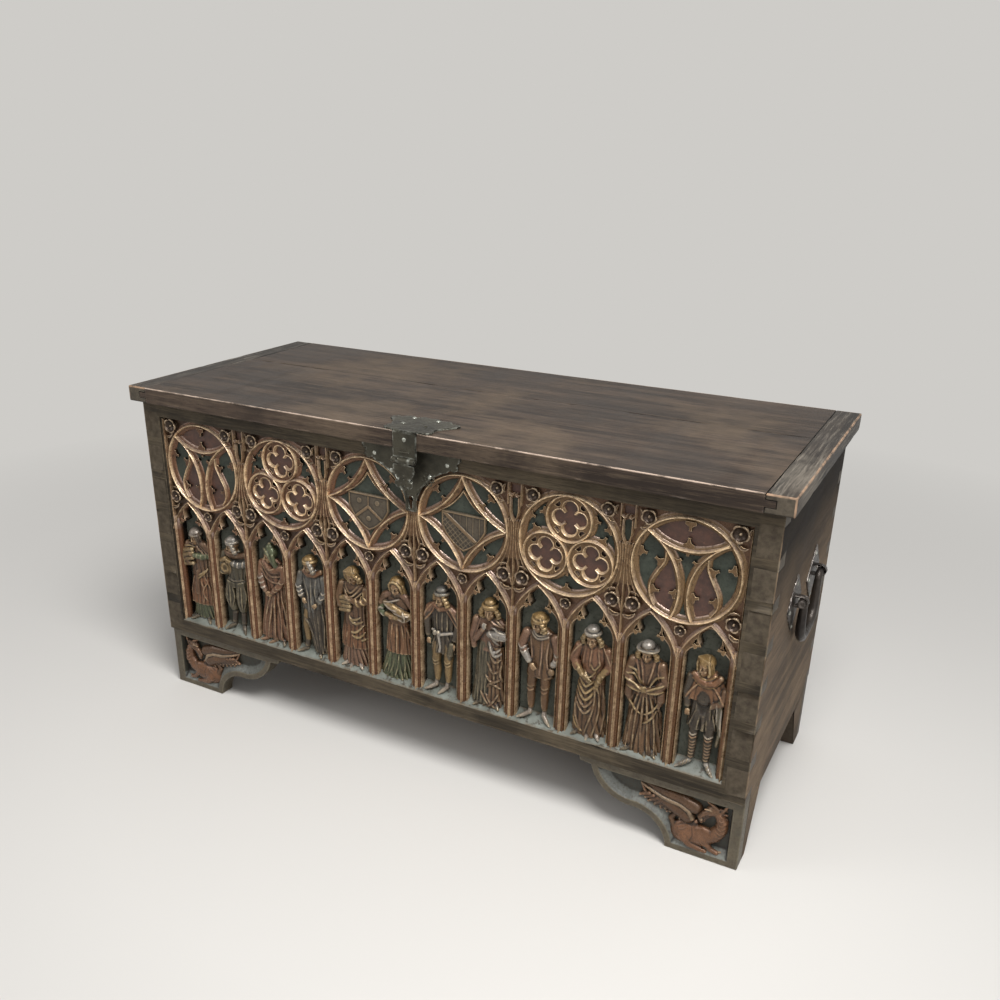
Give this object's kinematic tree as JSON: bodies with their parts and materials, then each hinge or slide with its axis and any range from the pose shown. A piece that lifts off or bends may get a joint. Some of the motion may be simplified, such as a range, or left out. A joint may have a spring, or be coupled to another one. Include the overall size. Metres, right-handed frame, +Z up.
{
  "type": "coffer chest",
  "caption": "Boarded oak coffer chest on bracket feet, with a traceried niche front of carved figures, a hinged plank lid, iron hasp, lock and bail handles.",
  "frame": {"origin": "on the floor, under the middle of the whole object's box", "axes": "+X along the chest to its right end as seen from the front, -Y out of the carved front, +Z up"},
  "size_m": [1.143, 0.4713, 0.5921],
  "materials": {
    "carcase_oak": "dark waxed oak",
    "bottom_oak": "raw sawn oak",
    "lid_oak": "dark waxed oak with worn reddish edges",
    "gilded_carving": "worn gilding over carved oak",
    "painted_figures": "worn painted and gilded carving",
    "sill_paint": "pale grey-blue paint",
    "wrought_iron": "dark forged iron"
  },
  "bodies": {
    "case": {"front_board": "carcase_oak", "back_board": "carcase_oak", "left_end_board": "carcase_oak", "right_end_board": "carcase_oak", "front_bracket_left": "carcase_oak", "front_bracket_right": "carcase_oak", "back_bracket_left": "carcase_oak", "back_bracket_right": "carcase_oak", "bottom_board_front": "bottom_oak", "bottom_board_back": "bottom_oak", "tracery_panel": "gilded_carving", "rosettes": "gilded_carving", "shield_left": "gilded_carving", "shield_right": "gilded_carving", "niche_figure_01": "painted_figures", "niche_figure_02": "painted_figures", "niche_figure_03": "painted_figures", "niche_figure_04": "painted_figures", "niche_figure_05": "painted_figures", "niche_figure_06": "painted_figures", "niche_figure_07": "painted_figures", "niche_figure_08": "painted_figures", "niche_figure_09": "painted_figures", "niche_figure_10": "painted_figures", "niche_figure_11": "painted_figures", "niche_figure_12": "painted_figures", "niche_sill": "sill_paint", "lock_plate": "wrought_iron", "lock_plate_nails": "wrought_iron", "lock_case": "wrought_iron", "hinge_leaf_left": "wrought_iron", "hinge_leaf_right": "wrought_iron", "hinge_pin_left": "wrought_iron", "hinge_pin_right": "wrought_iron", "hinge_leaf_nails": "wrought_iron", "handle_nails": "wrought_iron", "handle_plate_left_front": "wrought_iron", "handle_plate_left_back": "wrought_iron", "handle_plate_right_front": "wrought_iron", "handle_plate_right_back": "wrought_iron", "handle_staple_left_front": "wrought_iron", "handle_staple_left_back": "wrought_iron", "handle_staple_right_front": "wrought_iron", "handle_staple_right_back": "wrought_iron"},
    "lid": {"lid_front_plank": "lid_oak", "lid_back_plank": "lid_oak", "lid_left_cleat": "lid_oak", "lid_right_cleat": "lid_oak", "hinge_strap_left": "wrought_iron", "hinge_strap_right": "wrought_iron", "hinge_strap_nails": "wrought_iron", "hasp_strap": "wrought_iron", "hasp_nails": "wrought_iron", "hasp_pin": "wrought_iron"},
    "hasp": {"hasp_tongue": "wrought_iron"},
    "bolt": {"lock_bolt": "wrought_iron"},
    "bail_left": {"bail_left": "wrought_iron"},
    "bail_right": {"bail_right": "wrought_iron"}
  },
  "joints": [
    {"name": "lid_hinge", "type": "hinge", "parent": "case", "child": "lid", "pos_m": [0, 0.22485, 0.5555], "axis": [-1, 0, 0], "range_deg": [0, 125]},
    {"name": "hasp_hinge", "type": "hinge", "parent": "lid", "child": "hasp", "pos_m": [0, -0.23115, 0.545], "axis": [-1, 0, 0], "range_deg": [-20, 170]},
    {"name": "lock_bolt_slide", "type": "slide", "parent": "case", "child": "bolt", "axis": [-1, 0, 0], "range_m": [0, 0.011]},
    {"name": "bail_left_hinge", "type": "hinge", "parent": "case", "child": "bail_left", "pos_m": [-0.5625, 0.00385, 0.38], "axis": [0, 1, 0], "range_deg": [0, 178]},
    {"name": "bail_right_hinge", "type": "hinge", "parent": "case", "child": "bail_right", "pos_m": [0.5625, 0.00385, 0.38], "axis": [0, -1, 0], "range_deg": [0, 178]}
  ]
}
